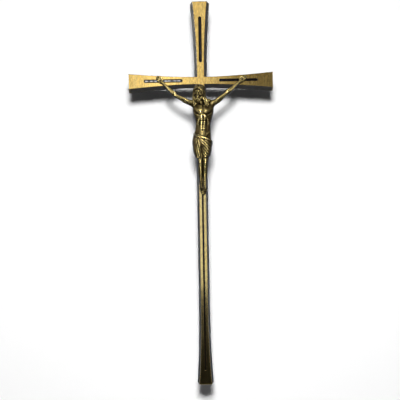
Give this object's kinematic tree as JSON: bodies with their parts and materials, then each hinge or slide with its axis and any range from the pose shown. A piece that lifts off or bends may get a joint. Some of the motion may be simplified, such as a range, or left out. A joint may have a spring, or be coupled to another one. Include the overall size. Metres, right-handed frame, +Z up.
{
  "type": "wall crucifix",
  "caption": "Slender flared brass wall cross with enamelled grooves, a riveted cast figure in a loincloth and a keyhole hanger let into its back.",
  "frame": {"origin": "crossing of the post's and the bar's centre lines, on the flat back plane that lies on the wall", "axes": "+Z up along the post, +X to the viewer's right along the bar, +Y from the figure into the wall"},
  "size_m": [0.145, 0.0258, 0.3818],
  "materials": {
    "cross_brass": "face brushed lengthwise with polished arrises, drafted sides darkened",
    "black_enamel": "glossy black enamel",
    "aged_figure": "cast, darkened in the hollows and rubbed bright on the high places",
    "nail_brass": "domed and aged",
    "plated_steel": "zinc plated"
  },
  "bodies": {
    "root": {"cross_body": "cross_brass", "enamel_top": "black_enamel", "enamel_left": "black_enamel", "enamel_right": "black_enamel", "enamel_shaft": "black_enamel", "corpus": "aged_figure", "nail_left_hand": "nail_brass", "nail_right_hand": "nail_brass", "nail_feet": "nail_brass", "corpus_screw": "plated_steel", "corpus_washer": "plated_steel", "hanger_plate": "plated_steel", "hanger_screw_upper": "plated_steel", "hanger_screw_lower": "plated_steel"}
  },
  "joints": []
}
